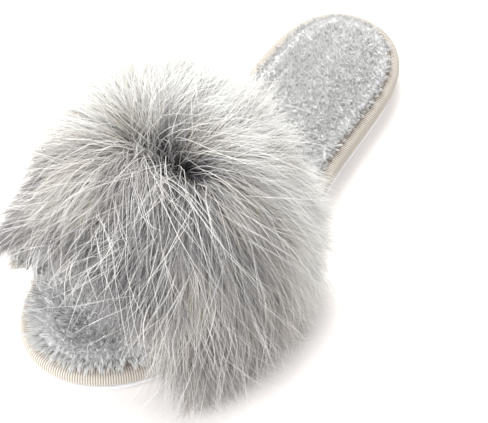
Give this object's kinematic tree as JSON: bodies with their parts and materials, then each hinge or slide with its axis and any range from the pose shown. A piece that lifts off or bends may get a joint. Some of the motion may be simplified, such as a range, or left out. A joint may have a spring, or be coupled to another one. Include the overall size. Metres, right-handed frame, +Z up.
{
  "type": "fuzzy open-toe slipper",
  "caption": "Left open-toe house slipper: flat sole, ribbed edge tape, plush insole, and a hollow band over the foot covered in long fur that flows from a parting.",
  "frame": {"origin": "on the floor, under the middle of the sole's length and of the heel's width", "axes": "+Y from the toe to the heel, +Z up, -X the inner side of the foot"},
  "size_m": [0.1462, 0.2618, 0.0912],
  "materials": {
    "outsole": "white foamed rubber, moulded smooth, slight gloss",
    "plush": "pale grey plush, short clumped pile, matt",
    "ribbed_tape": "cream grosgrain tape, ribs across the edge, matt",
    "lining": "grey knitted backing cloth, brushed, matt",
    "fur": "pale grey long fur with lighter guard hairs, soft sheen"
  },
  "bodies": {
    "root": {"outsole": "outsole", "insole": "plush", "edge_binding": "ribbed_tape", "upper": "lining", "fur": "fur"}
  },
  "joints": []
}
